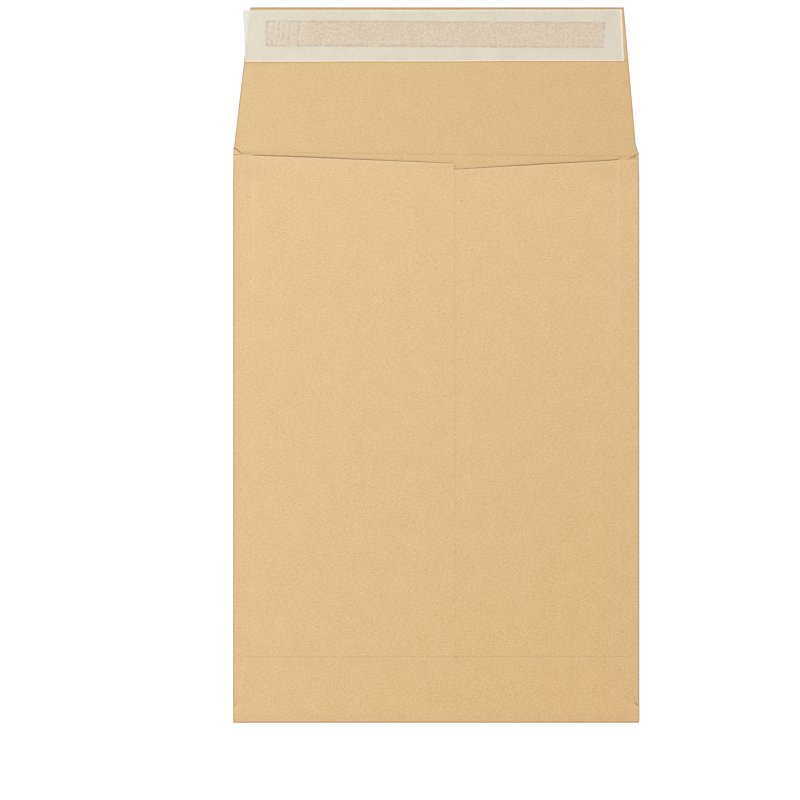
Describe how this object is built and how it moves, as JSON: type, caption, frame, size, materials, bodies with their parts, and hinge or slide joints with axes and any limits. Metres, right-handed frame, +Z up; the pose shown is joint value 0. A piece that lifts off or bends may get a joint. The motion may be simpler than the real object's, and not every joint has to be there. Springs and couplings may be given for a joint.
{
  "type": "gusseted envelope",
  "caption": "Flat kraft pocket envelope with pleated side gussets, an overlapped back seam, a glued bottom flap and an open closing flap with a covered self-seal band.",
  "frame": {"origin": "on the surface that the envelope lies on, under the middle of its outline", "axes": "+X across the pocket to the right of the back, +Y towards the tip of the closing flap, +Z up out of the back"},
  "size_m": [0.229, 0.4036, 0.0024],
  "materials": {
    "kraft": "machine-glazed kraft, matt",
    "adhesive": "tacky, slightly glossy film",
    "liner": "translucent siliconised paper"
  },
  "bodies": {
    "root": {"envelope_sheet": "kraft", "seal_adhesive": "adhesive", "release_liner": "liner"}
  },
  "joints": []
}
